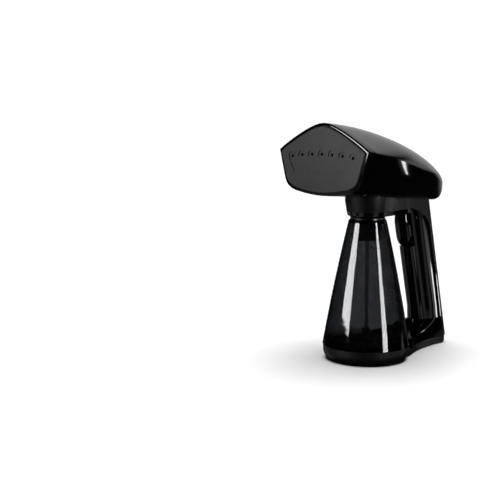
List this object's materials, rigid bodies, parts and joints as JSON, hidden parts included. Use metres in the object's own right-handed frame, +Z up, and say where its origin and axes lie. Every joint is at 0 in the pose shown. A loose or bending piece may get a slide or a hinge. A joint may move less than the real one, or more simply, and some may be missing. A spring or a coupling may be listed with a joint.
{
  "type": "garment steamer",
  "caption": "Handheld garment steamer: pentagonal tapering head with a steam plate, conical smoked water tank in front, slanted loop handle with trigger behind, standing on a base with a tail.",
  "frame": {"origin": "on the ground under the axis of the water tank", "axes": "+Z up along the tank's axis, -Y towards the soleplate, X across the head from side to side"},
  "size_m": [0.116, 0.1931, 0.2399],
  "materials": {
    "gloss_black": "glossy black ABS",
    "satin_black": "satin black ABS, fine texture",
    "soleplate": "satin dark grey ceramic coating on cast aluminium",
    "smoked_tank": "clear smoked polycarbonate",
    "dark_plastic": "matte black plastic",
    "rubber": "matte black rubber",
    "seal_red": "red silicone",
    "cast_aluminium": "as cast, matte",
    "steel": "zinc-plated or stainless steel",
    "brass": "copper winding under amber lacquer",
    "white_plastic": "natural nylon",
    "mica": "mica sheet",
    "silicone_tube": "translucent silicone",
    "board": "green solder mask",
    "switch_body": "dark blue-grey nylon",
    "lens": "translucent clear",
    "collar": "dark polished metal"
  },
  "bodies": {
    "housing": {"head_top_cover": "gloss_black", "head_lower_shell": "gloss_black", "front_bezel": "gloss_black", "soleplate": "soleplate", "soleplate_gasket": "rubber", "boiler_block": "cast_aluminium", "heating_element": "steel", "boiler_gasket": "seal_red", "boiler_cover": "steel", "boiler_screws": "steel", "thermostat": "steel", "thermal_fuse": "white_plastic", "heat_shield": "mica", "pump_body": "white_plastic", "pump_coil": "brass", "pump_spring": "steel", "inlet_tube": "silicone_tube", "delivery_tube": "silicone_tube", "control_board": "board", "shell_screws": "steel", "tank_socket": "gloss_black", "spine_frame": "satin_black", "handle_shell": "gloss_black", "foot_shell": "gloss_black", "foot_plate": "dark_plastic", "frame_screws": "steel", "trigger_pin": "steel", "trigger_spring": "steel", "trigger_switch": "switch_body", "power_switch": "switch_body", "indicator_lens": "lens", "cord_gland": "rubber", "cord_clamp": "dark_plastic", "terminal_block": "white_plastic"},
    "tank_unit": {"tank_body": "smoked_tank", "tank_base": "satin_black", "tank_cap": "dark_plastic", "tank_collar": "collar", "cap_seal": "seal_red", "intake_tube": "silicone_tube", "intake_filter": "dark_plastic", "base_pad": "rubber", "tail_pad": "rubber"},
    "trigger": {"trigger": "gloss_black"},
    "power_button": {"power_button": "satin_black"},
    "pump_piston": {"pump_piston": "steel"}
  },
  "joints": [
    {"name": "tank_pull", "type": "slide", "parent": "housing", "child": "tank_unit", "axis": [0, 0, -1], "range_m": [0, 0.04]},
    {"name": "trigger_pivot", "type": "hinge", "parent": "housing", "child": "trigger", "pos_m": [0, 0.06521, 0.141], "axis": [1, 0, 0], "range_deg": [0, 6], "stiffness_Nm_per_rad": 0.6},
    {"name": "power_press", "type": "slide", "parent": "housing", "child": "power_button", "axis": [0, -0.9748, -0.2233], "range_m": [0, 0.0015], "stiffness_N_per_m": 600},
    {"name": "pump_stroke", "type": "slide", "parent": "housing", "child": "pump_piston", "axis": [0, 0, 1], "range_m": [0, 0.003], "stiffness_N_per_m": 300, "deforming": ["pump_spring"]}
  ]
}
